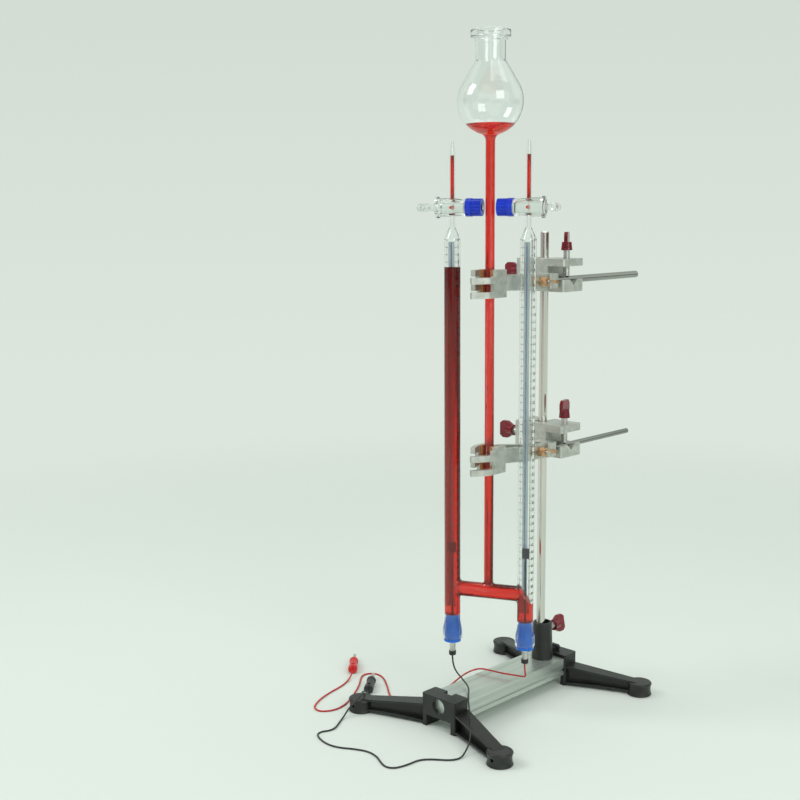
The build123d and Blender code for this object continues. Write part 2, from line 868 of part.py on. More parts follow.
upper_stem_z = upper_boss_z + jaw_height - groove_cut + (upper_stem_r + running) * sqrt(2)
lower_stem_z = lower_boss_z + jaw_height - groove_cut + (lower_stem_r + running) * sqrt(2)
upward = {"x_dir": (1, 0, 0), "z_dir": (0, 0, 1)}
leftward = {"x_dir": (0, 1, 0), "z_dir": (-1, 0, 0)}
rearward = {"x_dir": (1, 0, 0), "z_dir": (0, 1, 0)}
wing_screws = (
    ("upper_stem", Plane(origin=(stem_x, rod_y, upper_stem_knob_z), **upward), 120,
     upper_stem_knob_z - upper_stem_z - upper_stem_r - loose),
    ("lower_stem", Plane(origin=(stem_x, rod_y, lower_stem_knob_z), **upward), 104,
     lower_stem_knob_z - lower_stem_z - lower_stem_r - loose),
    ("upper_rod", Plane(origin=(-upper_rod_knob_out, rod_y, upper_boss_z + rod_screw_up), **leftward),
     upper_rod_knob_turn, upper_rod_knob_out - rod_r - loose),
    ("lower_rod", Plane(origin=(-lower_rod_knob_out, rod_y, lower_boss_z + rod_screw_up), **leftward),
     lower_rod_knob_turn, lower_rod_knob_out - rod_r - loose),
    ("holder", Plane(origin=(0, rod_y + holder_knob_out, rail_top + holder_screw_up), **rearward),
     holder_knob_turn, holder_knob_out - rod_r - loose),
)
for name, base, turn, reach in wing_screws:
    save(wing_knob(base, turn), f"{name}_screw_knob")
    save(wing_stud(base, reach), f"{name}_screw_stud")


# Boss heads
def boss_head(boss_z):
    """A cast clamp block: a vee slot for the rod, a jaw with crossed vees for the stem."""
    width = boss_left + boss_right
    apex = (rod_r + running) * sqrt(2)
    half = boss_depth / 2
    with BuildPart() as boss:
        with BuildSketch(Plane(origin=((boss_right - boss_left) / 2, rod_y, boss_z))):
            RectangleRounded(width, boss_depth, boss_round)
        extrude(amount=boss_height)
        with BuildSketch(Plane(origin=(0, rod_y - half, boss_z), x_dir=(1, 0, 0), z_dir=(0, -1, 0))):
            Polygon(
                (slot_left, jaw_height),
                (boss_right + 1, jaw_height),
                (boss_right + 1, boss_height - top_plate),
                (slot_left, boss_height - top_plate),
                align=None,
            )
            Polygon(
                (stem_x, jaw_height - groove_cut),
                (stem_x + groove_cut, jaw_height),
                (stem_x - groove_cut, jaw_height),
                align=None,
            )
        extrude(amount=-boss_depth, mode=Mode.SUBTRACT)
        with BuildSketch(Plane(origin=(slot_left, rod_y, boss_z), x_dir=(0, 1, 0), z_dir=(1, 0, 0))):
            Polygon(
                (0, jaw_height - groove_cut),
                (groove_cut, jaw_height),
                (-groove_cut, jaw_height),
                align=None,
            )
        extrude(amount=boss_right, mode=Mode.SUBTRACT)
        with BuildSketch(Plane(origin=(0, rod_y, boss_z))):
            Polygon(
                (-rod_slot_left, half + 1),
                (-rod_slot_left, -rod_slot_front),
                (apex - rod_slot_front, -rod_slot_front),
                (apex, 0),
                (apex - rod_slot_mouth, rod_slot_mouth),
                (apex - rod_slot_mouth, half + 1),
                align=None,
            )
        extrude(amount=boss_height, mode=Mode.SUBTRACT)
        with BuildSketch(Plane(origin=(stem_x, rod_y, boss_z + boss_height - top_plate))):
            Circle(stud_r + running)
        extrude(amount=top_plate, mode=Mode.SUBTRACT)
        screw_hole = (-boss_left, rod_y, boss_z + rod_screw_up)
        with BuildSketch(Plane(origin=screw_hole, z_dir=(1, 0, 0))):
            Circle(stud_r + running)
        extrude(amount=boss_left - rod_slot_left, mode=Mode.SUBTRACT)
    return boss.part


save(boss_head(upper_boss_z), "upper_boss_head")
save(boss_head(lower_boss_z), "lower_boss_head")


# Clamps: each grips the glass's centre tube between two corked jaws
def front(distance):
    """Y of a point that far in front of the rod."""
    return rod_y - distance


def strip(points, radius, low, high):
    """An upright strip as thick as an arm, along points seen from above."""
    places = [(x, front(far)) for x, far in points]
    with BuildSketch(Plane(origin=(0, 0, low))) as section:
        with BuildLine():
            if len(places) > 2:
                FilletPolyline(*places, radius=radius)
            else:
                Line(*places)
        trace(line_width=arm_thick)
    extrude(section.sketch, amount=high - low)


def fingers(points, centre, steps):
    for step in steps:
        low = centre + step * finger_pitch
        strip(points, finger_bend_r, low, low + finger_height)


def screw_hole_in_arm(stem_z, radius):
    with BuildSketch(Plane(origin=(0, front(screw_front), stem_z), z_dir=(1, 0, 0))) as hole:
        Circle(radius)
    extrude(hole.sketch, amount=2 * block_right, mode=Mode.SUBTRACT)


near_face_x = glass_x + centre_tube_r + loose + cork_thick
far_face_x = glass_x - centre_tube_r - loose - cork_thick
near_x = near_face_x + arm_thick / 2
far_x = far_face_x - arm_thick / 2


def fixed_arm(stem_z, stem_r, jaw_z):
    """The arm on the stem: block with a slot for the other arm, bar, jaw and two fingers."""
    half = arm_height / 2
    with BuildPart() as arm:
        middle = ((block_left + block_right) / 2, front((stem_start + block_front) / 2))
        with BuildSketch(Plane(origin=(*middle, stem_z - half))):
            RectangleRounded(block_right - block_left, block_front - stem_start, block_round)
        extrude(amount=arm_height)
        strip(((near_arm_x, block_front - 3), (near_arm_x, near_bend_front), (near_x, jaw_rear),
               (near_x, jaw_front)), arm_bend_r, stem_z - half, stem_z + half)
        strip(((near_x, jaw_rear), (near_x, jaw_rear + jaw_back_depth)), None,
              jaw_z - jaw_stack / 2, jaw_z + jaw_stack / 2)
        fingers(((near_x, jaw_rear), (near_x, near_curl_front), (near_tip_x, near_tip_front)),
                jaw_z - jaw_stack / 2, (0, 2))
        with BuildSketch(Plane(origin=(0, 0, stem_z - eye_height / 2 - loose))):
            Polygon(
                (block_left - 1, front(stem_start - 1)),
                (pivot_x + eye_r + loose, front(stem_start - 1)),
                (pivot_x + eye_r + loose, front(block_front + 1)),
                (block_left - 1, front(block_front + 1)),
                align=None,
            )
        extrude(amount=eye_height + 2 * loose, mode=Mode.SUBTRACT)
        with BuildSketch(Plane(origin=(pivot_x, front(pivot_front), stem_z - half))):
            Circle(pivot_r)
        extrude(amount=arm_height, mode=Mode.SUBTRACT)
        with BuildSketch(Plane(origin=(stem_x, front(stem_start), stem_z), z_dir=(0, -1, 0))):
            Circle(stem_r)
        extrude(amount=stem_grip, mode=Mode.SUBTRACT)
        screw_hole_in_arm(stem_z, jaw_screw_r + running)
    return arm.part


def moving_arm(stem_z, jaw_z):
    """The arm that turns on the pivot: eye, bar, jaw and two fingers."""
    half = arm_height / 2
    with BuildPart() as arm:
        with BuildSketch(Plane(origin=(0, 0, stem_z - eye_height / 2))):
            with Locations((pivot_x, front(pivot_front))):
                Circle(eye_r)
            with Locations((pivot_x, front((pivot_front + bar_front) / 2))):
                Rectangle(arm_thick, bar_front - pivot_front)
        extrude(amount=eye_height)
        strip(((pivot_x, bar_front), (pivot_x, far_bend_front), (far_bow_x, far_bow_front),
               (far_x, jaw_rear), (far_x, jaw_front)), arm_bend_r, stem_z - half, stem_z + half)
        strip(((far_x, jaw_rear), (far_x, jaw_rear + jaw_back_depth)), None,
              jaw_z - jaw_stack / 2, jaw_z + jaw_stack / 2)
        fingers(((far_x, jaw_rear), (far_x, far_curl_front), (far_tip_x, far_tip_front)),
                jaw_z - jaw_stack / 2, (1, 3))
        with BuildSketch(Plane(origin=(pivot_x, front(pivot_front), stem_z - half))):
            Circle(pivot_r + running)
        extrude(amount=arm_height, mode=Mode.SUBTRACT)
        screw_hole_in_arm(stem_z, jaw_screw_r + screw_play)
    return arm.part


def cork(face_x, away, jaw_z):
    """A cork pad on a jaw's face, as tall as the jaw."""
    middle = (face_x + away * cork_thick / 2, front((jaw_rear + jaw_front) / 2))
    with BuildPart() as pad:
        with BuildSketch(Plane(origin=(*middle, jaw_z - jaw_stack / 2))):
            Rectangle(cork_thick, cork_length)
        extrude(amount=jaw_stack)
    return pad.part


def jaw_screw(stem_z):
    """The screw through both arms, with its head against the moving arm."""
    start = (pivot_x - arm_thick / 2 - head_gap - head_thick, front(screw_front), stem_z)
    with BuildPart() as screw:
        with BuildSketch(Plane(origin=start, z_dir=(1, 0, 0))):
            Circle(head_r)
        extrude(amount=head_thick)
        with BuildSketch(Plane(origin=start, z_dir=(1, 0, 0))):
            Circle(jaw_screw_r)
        extrude(amount=jaw_screw_end_x - start[0])
    return screw.part


def wing_nut(stem_z):
    """A brass wing nut against the fixed arm, its wings level."""
    face = Plane(origin=(near_arm_x + arm_thick / 2 + loose, front(screw_front), stem_z),
                 x_dir=(0, 1, 0), z_dir=(1, 0, 0))
    blade = Plane(origin=face.origin, x_dir=(0, 1, 0), z_dir=(0, 0, -1))
    half = jaw_wing_span / 2
    with BuildPart() as nut:
        with BuildSketch(face):
            Circle(wing_hub_r)
        extrude(amount=wing_hub_length, taper=wing_hub_taper)
        with BuildSketch(blade) as wings:
            Polygon(
                (-wing_hub_r + 1, 1),
                (wing_hub_r - 1, 1),
                (half, wing_hub_length - 1),
                (half, wing_hub_length + 5),
                (half - 6, wing_hub_length + 4),
                (wing_hub_r - 2, wing_hub_length - 2),
                (-wing_hub_r + 2, wing_hub_length - 2),
                (-half + 6, wing_hub_length + 4),
                (-half, wing_hub_length + 5),
                (-half, wing_hub_length - 1),
                align=None,
            )
            fillet(wings.vertices(), radius=0.8)
        extrude(amount=wing_blade / 2, both=True)
        with BuildSketch(face):
            Circle(jaw_screw_r + running)
        extrude(amount=2 * wing_hub_length, mode=Mode.SUBTRACT)
    return nut.part


def clamp_stem(stem_z, stem_r, end_y):
    start_y = front(stem_start + stem_grip)
    with BuildPart() as stem:
        with BuildSketch(Plane(origin=(stem_x, start_y, stem_z), z_dir=(0, 1, 0))):
            Circle(stem_r)
        extrude(amount=end_y - start_y)
        ends = stem.edges().filter_by(GeomType.CIRCLE)
        chamfer(ends.sort_by(Axis.Y)[-1], length=stem_chamfer)
    return stem.part


def pivot_pin(stem_z):
    with BuildPart() as pin:
        with BuildSketch(Plane(origin=(pivot_x, front(pivot_front), stem_z - arm_height / 2))):
            Circle(pivot_r)
        extrude(amount=arm_height)
    return pin.part


clamps = (
    ("upper", upper_stem_z, upper_stem_r, upper_stem_end_y, upper_stem_z),
    ("lower", lower_stem_z, lower_stem_r, lower_stem_end_y, lower_stem_z - lower_jaw_drop),
)
for name, stem_z, stem_r, end_y, jaw_z in clamps:
    save(clamp_stem(stem_z, stem_r, end_y), f"{name}_clamp_stem")
    save(fixed_arm(stem_z, stem_r, jaw_z), f"{name}_fixed_arm")
    save(moving_arm(stem_z, jaw_z), f"{name}_moving_arm")
    save(pivot_pin(stem_z), f"{name}_pivot_pin")
    save(cork(near_face_x, -1, jaw_z), f"{name}_fixed_cork")
    save(cork(far_face_x, 1, jaw_z), f"{name}_moving_cork")
    save(jaw_screw(stem_z), f"{name}_jaw_screw")
    save(wing_nut(stem_z), f"{name}_wing_nut")


# Leads: points chosen by hand, from under each collar to the rear of its plug
left_collar = glass_point(-tube_spacing, plug_foot_z - sleeve_length - collar_length)
right_collar = glass_point(tube_spacing, plug_foot_z - sleeve_length - collar_length)
black_route = [
    left_collar, (left_collar[0], left_collar[1], 54.5), (-27, -83.5, 44.5), (-14, -86, 38.5),
    (2, -95, 37.5), (14, -107, 38.2), (25.5, -122, 40.5), (30.5, -126, 30), (38, -133, 25.8),
    (48, -142.5, 25.5), (57.5, -154, 20.5), (61, -160, 11), (61.5, -167, 3.5), (65, -178, 1),
    (60, -189.5, 1), (47, -198, 1), (36, -209, 1), (35.5, -225, 1), (32, -240, 1),
    (23.5, -245.5, 1), (12, -241.5, 1), (0, -234.5, 1), (-15, -231.5, 1), (-31, -237.5, 1),
    (-44, -246, 1), (-57, -249, 1), (-69, -247.5, 1), (-80, -243.8, 1), (-87, -239, 1),
    (-88, -231, 1), (-83.5, -224, 1), (-84, -215, 1), (-91, -203, 1), (-98.5, -189.5, 1.2),
    (-98.5, -182, 8), (-93.5, -177.5, 16), (-94, -167, 20.5), (-101.5, -157, 20.3),
    (-109.5, -145.5, 15.5), (-120.4, -131.1, 5.5), (-127.2, -122.5, 5.5),
]
red_route = [
    right_collar, (right_collar[0], right_collar[1], 54), (43, -44.5, 45), (33, -36, 39.5),
    (19, -36, 37.6), (5, -40.5, 37.4), (-10, -43, 37.6), (-24, -46, 37.3), (-36, -53, 31),
    (-43.5, -61, 23), (-49, -69, 15), (-56, -79, 7.5), (-66, -92, 2), (-78, -107, 1),
    (-93, -116, 1), (-107, -108.5, 1), (-124, -94, 1), (-142, -80.5, 1), (-153, -74.5, 1),
    (-163.5, -73, 1), (-171.5, -78.5, 1), (-172.5, -88.5, 1), (-165, -98.5, 1),
    (-154.5, -110.5, 1), (-144, -125.5, 1), (-132, -145, 1), (-123.5, -162, 1),
    (-120, -177.5, 1), (-123, -189.5, 1), (-131, -197, 1), (-141.5, -194.5, 1),
    (-149, -185, 1), (-156.5, -169.5, 1), (-162, -150, 1), (-165.5, -130, 1),
    (-172.5, -111.5, 1), (-178.5, -99.5, 5.5), (-186, -91.5, 5.5),
]


def lead(route):
    """A tube along straight runs with the largest arcs that they allow."""
    points = [Vector(*point) for point in route]
    radii = []
    for before, here, after in zip(points, points[1:], points[2:]):
        turn = (here - before).get_angle(after - here)
        shorter = min((here - before).length, (after - here).length)
        radii.append(0.45 * shorter / tan(radians(turn) / 2))
    with BuildPart() as tube:
        with BuildLine() as way:
            FilletPolyline(*points, radius=radii)
        path = way.wire()
        with BuildSketch(Plane(origin=path @ 0, z_dir=path % 0)):
            Circle(lead_r)
        sweep(path=path)
    length = path.length
    print("lead", round(length), "mm, least radius", round(min(radii), 1),
          "volume ratio", round(tube.part.volume / (pi * lead_r**2 * length), 4))
    return tube.part


def plug_plane(route):
    """The level plane at a plug's rear end, looking along the plug."""
    end, before = Vector(*route[-1]), Vector(*route[-2])
    return Plane(origin=end, z_dir=end - before)


def banana_handle(route):
    """A round handle with a ribbed waist and a cross hole for another plug."""
    rear = plug_plane(route)
    side = Plane(origin=rear.origin, x_dir=rear.z_dir, z_dir=rear.z_dir.cross(Vector(0, 0, 1)))
    radius, length = banana_handle_r, banana_handle_length
    with BuildPart() as handle:
        with BuildSketch(side):
            with BuildLine():
                Polyline(
                    (0, 0),
                    (0, radius - 1),
                    (1, radius),
                    (9, radius),
                    (11, radius - 0.8),
                    (length - 7, radius - 0.8),
                    (length - 5, radius),
                    (length - 1, radius),
                    (length, radius - 1),
                    (length, 0),
                    (0, 0),
                )
            make_face()
        revolve(axis=Axis(rear.origin, rear.z_dir))
        cross = rear.origin + rear.z_dir * 5.5
        with BuildSketch(Plane(origin=cross, z_dir=(0, 0, 1))):
            Circle(banana_pin_r + running)
        extrude(amount=2 * radius, mode=Mode.SUBTRACT)
        with BuildSketch(Plane(origin=rear.origin + rear.z_dir * length, z_dir=rear.z_dir)):
            Circle(banana_pin_grip_r)
        extrude(amount=-banana_pin_grip, mode=Mode.SUBTRACT)
    return handle.part


def banana_pin(route):
    rear = plug_plane(route)
    face = Plane(origin=rear.origin + rear.z_dir * banana_handle_length, z_dir=rear.z_dir)
    with BuildPart() as pin:
        with BuildSketch(face):
            Circle(banana_pin_grip_r)
        extrude(amount=-banana_pin_grip)
        with BuildSketch(face):
            Circle(banana_pin_r)
        extrude(amount=banana_pin_length)
        tips = pin.edges().filter_by(GeomType.CIRCLE)
        chamfer(tips.sort_by(Axis(rear.origin, rear.z_dir))[-1], length=0.8)
    return pin.part


for name, route in (("black", black_route), ("red", red_route)):
    save(lead(route), f"{name}_lead")
    save(banana_handle(route), f"{name}_banana_handle")
    save(banana_pin(route), f"{name}_banana_pin")
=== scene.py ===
# A Hofmann voltameter on its stand: camera, leads, floor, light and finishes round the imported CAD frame.
import math

import bmesh
import bpy
from mathutils import Matrix, Vector


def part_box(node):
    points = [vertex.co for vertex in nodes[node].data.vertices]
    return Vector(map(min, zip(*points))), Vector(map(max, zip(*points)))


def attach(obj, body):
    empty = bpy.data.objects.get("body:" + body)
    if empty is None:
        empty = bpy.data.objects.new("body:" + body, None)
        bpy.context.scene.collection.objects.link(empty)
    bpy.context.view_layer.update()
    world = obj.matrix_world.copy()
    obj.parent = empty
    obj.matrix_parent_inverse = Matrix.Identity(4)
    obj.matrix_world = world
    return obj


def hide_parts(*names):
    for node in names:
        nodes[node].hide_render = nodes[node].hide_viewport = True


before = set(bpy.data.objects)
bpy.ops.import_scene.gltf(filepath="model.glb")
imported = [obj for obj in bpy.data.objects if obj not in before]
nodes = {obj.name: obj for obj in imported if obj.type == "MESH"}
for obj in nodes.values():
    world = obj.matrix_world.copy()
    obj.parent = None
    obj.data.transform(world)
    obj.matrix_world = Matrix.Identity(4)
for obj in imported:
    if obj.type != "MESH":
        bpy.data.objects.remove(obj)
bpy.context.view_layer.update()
MM = 0.001

# Camera
CAMERA_PLACE = Vector((0.86119, -1.08407, 0.56344))
CAMERA_TURN = math.radians(44.161)
CAMERA_PITCH = math.radians(8.96)
CAMERA_ROLL = math.radians(-0.407)
LENS_MM = 56.05
SENSOR_MM = 36.0

# Glass tubes, in metres
LEFT_TUBE = Vector((-0.030354, -0.084251, 0.0))
RIGHT_TUBE = Vector((0.045354, -0.049749, 0.0))
TUBE_RADIUS = 8.8 * MM
ZERO_MARK = 525.0 * MM
MILLILITRE = 7.78 * MM
SCALE_LENGTH_ML = 50

# Leads
LEAD_RADIUS = 0.9 * MM


def view_axes():
    """The camera's right, up and forward directions."""
    right = Vector((math.cos(CAMERA_TURN), math.sin(CAMERA_TURN), 0.0))
    forward = Vector(
        (
            -math.sin(CAMERA_TURN) * math.cos(CAMERA_PITCH),
            math.cos(CAMERA_TURN) * math.cos(CAMERA_PITCH),
            -math.sin(CAMERA_PITCH),
        )
    )
    up = right.cross(forward)
    rolled_right = right * math.cos(CAMERA_ROLL) + up * math.sin(CAMERA_ROLL)
    rolled_up = up * math.cos(CAMERA_ROLL) - right * math.sin(CAMERA_ROLL)
    return rolled_right, rolled_up, forward


def make_camera():
    right, up, forward = view_axes()
    data = bpy.data.cameras.new("camera")
    data.sensor_width = SENSOR_MM
    data.lens = LENS_MM
    camera = bpy.data.objects.new("camera", data)
    bpy.context.scene.collection.objects.link(camera)
    turn = Matrix((right, up, -forward)).transposed().to_4x4()
    camera.matrix_world = Matrix.Translation(CAMERA_PLACE) @ turn
    bpy.context.scene.camera = camera


make_camera()


# Materials: one noise field tints the colour, sets the gloss and raises the surface
def blank_material(name):
    material = bpy.data.materials.new(name)
    material.use_nodes = True
    shader = material.node_tree.nodes["Principled BSDF"]
    return material, material.node_tree, shader


def object_coordinates(tree, stretch=(1.0, 1.0, 1.0)):
    place = tree.nodes.new("ShaderNodeTexCoord")
    mapping = tree.nodes.new("ShaderNodeMapping")
    mapping.inputs["Scale"].default_value = stretch
    tree.links.new(place.outputs["Object"], mapping.inputs["Vector"])
    return mapping.outputs["Vector"]


def noise(tree, vector, scale, detail=4.0):
    texture = tree.nodes.new("ShaderNodeTexNoise")
    texture.inputs["Scale"].default_value = scale
    texture.inputs["Detail"].default_value = detail
    tree.links.new(vector, texture.inputs["Vector"])
    return texture.outputs["Fac"]


def blend_colours(tree, factor, low, high, start=0.35, end=0.65):
    ramp = tree.nodes.new("ShaderNodeValToRGB")
    ramp.color_ramp.elements[0].position = start
    ramp.color_ramp.elements[0].color = (*low, 1.0)
    ramp.color_ramp.elements[1].position = end
    ramp.color_ramp.elements[1].color = (*high, 1.0)
    tree.links.new(factor, ramp.inputs["Fac"])
    return ramp.outputs["Color"]


def spread(tree, factor, low, high):
    span = tree.nodes.new("ShaderNodeMapRange")
    span.inputs["To Min"].default_value = low
    span.inputs["To Max"].default_value = high
    tree.links.new(factor, span.inputs["Value"])
    return span.outputs["Result"]


def raise_surface(tree, shader, height, depth, strength=0.5):
    bump = tree.nodes.new("ShaderNodeBump")
    bump.inputs["Distance"].default_value = depth
    bump.inputs["Strength"].default_value = strength
    tree.links.new(height, bump.inputs["Height"])
    tree.links.new(bump.outputs["Normal"], shader.inputs["Normal"])


def surface(name, low, high, grain, depth, gloss, metallic=0.0, stretch=(1.0, 1.0, 1.0), **fixed):
    """A finish whose colour runs from low to high, with gloss as (smoothest, roughest)."""
    material, tree, shader = blank_material(name)
    place = object_coordinates(tree, stretch)
    broad = noise(tree, place, grain * 0.12)
    fine = noise(tree, place, grain, 6.0)
    tree.links.new(blend_colours(tree, broad, low, high), shader.inputs["Base Color"])
    tree.links.new(spread(tree, fine, *gloss), shader.inputs["Roughness"])
    raise_surface(tree, shader, fine, depth)
    shader.inputs["Metallic"].default_value = metallic
    for socket, value in fixed.items():
        shader.inputs[socket.replace("_", " ")].default_value = value
    return material


def clear_glass():
    material, tree, shader = blank_material("clear_glass")
    shader.inputs["Base Color"].default_value = (0.975, 0.995, 0.985, 1.0)
    shader.inputs["Transmission Weight"].default_value = 1.0
    shader.inputs["IOR"].default_value = 1.47
    place = object_coordinates(tree, (1.0, 1.0, 0.25))
    drawn = noise(tree, place, 45.0, 2.0)
    tree.links.new(spread(tree, drawn, 0.0, 0.02), shader.inputs["Roughness"])
    raise_surface(tree, shader, drawn, 0.02 * MM, 0.3)
    return material


def ground_glass():
    """The frosted taper of a stopcock key."""
    material, tree, shader = blank_material("ground_glass")
    shader.inputs["Base Color"].default_value = (0.93, 0.96, 0.94, 1.0)
    shader.inputs["Transmission Weight"].default_value = 1.0
    shader.inputs["IOR"].default_value = 1.47
    place = object_coordinates(tree)
    frost = noise(tree, place, 1800.0, 5.0)
    tree.links.new(spread(tree, frost, 0.08, 0.3), shader.inputs["Roughness"])
    raise_surface(tree, shader, frost, 0.02 * MM, 0.3)
    return material


def red_solution():
    material, tree, shader = blank_material("red_solution")
    place = object_coordinates(tree, (1.0, 1.0, 0.3))
    streaks = noise(tree, place, 60.0, 2.0)
    colour = blend_colours(tree, streaks, (1.0, 0.022, 0.008), (1.0, 0.035, 0.014))
    tree.links.new(colour, shader.inputs["Base Color"])
    shader.inputs["Transmission Weight"].default_value = 0.84
    shader.inputs["Roughness"].default_value = 0.0
    shader.inputs["IOR"].default_value = 1.33
    return material


GLASS = clear_glass()
GROUND_GLASS = ground_glass()
SOLUTION = red_solution()
BLUE_PLASTIC = surface(
    "blue_plug_plastic", (0.0, 0.13, 0.68), (0.0, 0.17, 0.78), 900.0, 0.03 * MM, (0.22, 0.34)
)
DEEP_BLUE_PLASTIC = surface(
    "blue_nut_plastic", (0.0, 0.025, 0.48), (0.0, 0.04, 0.62), 900.0, 0.03 * MM, (0.24, 0.36)
)
WHITE_PLASTIC = surface(
    "white_washer_plastic", (0.72, 0.73, 0.70), (0.84, 0.85, 0.82), 700.0, 0.03 * MM, (0.3, 0.45)
)
KNOB_PLASTIC = surface(
    "dark_red_knob_plastic", (0.16, 0.004, 0.012), (0.27, 0.008, 0.022), 500.0, 0.04 * MM, (0.12, 0.24),
    Transmission_Weight=0.25, IOR=1.49,
)
BLACK_ENAMEL = surface(
    "black_cast_enamel", (0.008, 0.009, 0.008), (0.016, 0.018, 0.015), 420.0, 0.12 * MM, (0.3, 0.48)
)
BAR_ALUMINIUM = surface(
    "drawn_aluminium_bar", (0.47, 0.53, 0.48), (0.62, 0.67, 0.62), 1500.0, 0.03 * MM, (0.26, 0.42),
    metallic=0.75, stretch=(1.0, 0.03, 1.0),
)
CAST_METAL = surface(
    "shot_blasted_casting", (0.48, 0.50, 0.45), (0.61, 0.63, 0.58), 1300.0, 0.10 * MM, (0.34, 0.52),
    metallic=0.7,
)
POLISHED_ROD = surface(
    "polished_rod", (0.62, 0.61, 0.56), (0.74, 0.73, 0.68), 900.0, 0.01 * MM, (0.07, 0.16),
    metallic=1.0, stretch=(1.0, 1.0, 0.05),
)
# Painted shade: the clamp stems are the stand rod's polished steel, coloured much darker for the shade the
# stems sit in.
SHADED_POLISHED_STEM = surface(
    "polished_stem_painted_shade", (0.26, 0.27, 0.25), (0.36, 0.37, 0.34), 900.0, 0.01 * MM, (0.09, 0.18),
    metallic=1.0, stretch=(1.0, 0.05, 1.0),
)
TURNED_STEEL = surface(
    "turned_steel", (0.50, 0.50, 0.48), (0.64, 0.64, 0.62), 1600.0, 0.02 * MM, (0.2, 0.34), metallic=1.0
)
WORN_BRASS = surface(
    "worn_brass", (0.50, 0.30, 0.16), (0.70, 0.47, 0.26), 600.0, 0.05 * MM, (0.22, 0.42), metallic=1.0
)
DARK_FOIL = surface(
    "platinum_foil", (0.012, 0.014, 0.02), (0.03, 0.034, 0.045), 1500.0, 0.03 * MM, (0.35, 0.55), metallic=0.6
)
BLACK_PLASTIC = surface(
    "black_plug_plastic", (0.012, 0.013, 0.013), (0.022, 0.024, 0.024), 900.0, 0.04 * MM, (0.32, 0.46)
)
RED_PLASTIC = surface(
    "red_plug_plastic", (0.50, 0.008, 0.010), (0.66, 0.014, 0.014), 900.0, 0.03 * MM, (0.28, 0.4)
)
BLACK_RUBBER = surface(
    "black_lead_insulation", (0.014, 0.018, 0.018), (0.028, 0.034, 0.034), 1400.0, 0.03 * MM, (0.42, 0.58)
)
RED_RUBBER = surface(
    "red_lead_insulation", (0.42, 0.010, 0.014), (0.58, 0.02, 0.022), 1400.0, 0.03 * MM, (0.42, 0.58)
)
SCALE_ENAMEL = surface(
    "scale_enamel", (0.012, 0.014, 0.012), (0.03, 0.032, 0.028), 1500.0, 0.01 * MM, (0.3, 0.45)
)
BLUE_ENAMEL = surface(
    "blue_line_enamel", (0.44, 0.58, 0.88), (0.52, 0.66, 0.94), 700.0, 0.01 * MM, (0.2, 0.3),
    Transmission_Weight=0.7,
)
WHITE_ENAMEL = surface(
    "white_stripe_enamel", (0.78, 0.88, 0.98), (0.86, 0.93, 1.0), 500.0, 0.01 * MM, (0.2, 0.3),
    Transmission_Weight=0.55,
)


def pressed_cork():
    """Granules of one cell size, with dark pores."""
    material, tree, shader = blank_material("pressed_cork")
    place = object_coordinates(tree)
    cells = tree.nodes.new("ShaderNodeTexVoronoi")
    cells.inputs["Scale"].default_value = 620.0
    tree.links.new(place, cells.inputs["Vector"])
    colour = blend_colours(tree, cells.outputs["Distance"], (0.62, 0.27, 0.10), (0.30, 0.10, 0.035), 0.1, 0.8)
    tree.links.new(colour, shader.inputs["Base Color"])
    pores = noise(tree, place, 900.0, 6.0)
    tree.links.new(spread(tree, pores, 0.7, 0.95), shader.inputs["Roughness"])
    raise_surface(tree, shader, pores, 0.3 * MM, 0.8)
    return material


CORK = pressed_cork()

SIDES = ("left", "right")
LEVELS = ("upper", "lower")
FINISH_OF_NODE = {
    "glass_body": GLASS,
    "indicator_liquid": SOLUTION,
    "base_rail": BAR_ALUMINIUM,
    "front_bracket": BLACK_ENAMEL,
    "rear_bracket": BLACK_ENAMEL,
    "rod_holder": BLACK_ENAMEL,
    "stand_rod": POLISHED_ROD,
    "bracket_thumb_screw": BLACK_PLASTIC,
    "holder_screw_knob": KNOB_PLASTIC,
    "holder_screw_stud": TURNED_STEEL,
    "black_lead": BLACK_RUBBER,
    "red_lead": RED_RUBBER,
    "black_banana_handle": BLACK_PLASTIC,
    "red_banana_handle": RED_PLASTIC,
    "black_banana_pin": TURNED_STEEL,
    "red_banana_pin": TURNED_STEEL,
}
for side in SIDES:
    FINISH_OF_NODE[f"{side}_stopcock_key"] = GROUND_GLASS
    FINISH_OF_NODE[f"{side}_key_washer"] = WHITE_PLASTIC
    FINISH_OF_NODE[f"{side}_key_nut"] = DEEP_BLUE_PLASTIC
    FINISH_OF_NODE[f"{side}_electrode_plug"] = BLUE_PLASTIC
    FINISH_OF_NODE[f"{side}_electrode_rod"] = DARK_FOIL
    FINISH_OF_NODE[f"{side}_electrode_plate"] = DARK_FOIL
    FINISH_OF_NODE[f"{side}_contact_sleeve"] = TURNED_STEEL
    FINISH_OF_NODE[f"{side}_lead_collar"] = BLACK_PLASTIC
for level in LEVELS:
    for screw in ("stem", "rod"):
        FINISH_OF_NODE[f"{level}_{screw}_screw_knob"] = KNOB_PLASTIC
        FINISH_OF_NODE[f"{level}_{screw}_screw_stud"] = TURNED_STEEL
    FINISH_OF_NODE[f"{level}_boss_head"] = CAST_METAL
    FINISH_OF_NODE[f"{level}_clamp_stem"] = SHADED_POLISHED_STEM
    FINISH_OF_NODE[f"{level}_fixed_arm"] = CAST_METAL
    FINISH_OF_NODE[f"{level}_moving_arm"] = CAST_METAL
    FINISH_OF_NODE[f"{level}_pivot_pin"] = TURNED_STEEL
    FINISH_OF_NODE[f"{level}_fixed_cork"] = CORK
    FINISH_OF_NODE[f"{level}_moving_cork"] = CORK
    FINISH_OF_NODE[f"{level}_jaw_screw"] = TURNED_STEEL
    FINISH_OF_NODE[f"{level}_wing_nut"] = WORN_BRASS


def dress_cad_nodes():
    for name, material in FINISH_OF_NODE.items():
        node = nodes[name]
        if not node.material_slots:
            node.data.materials.append(material)
        for place in node.material_slots:
            place.material = material


dress_cad_nodes()


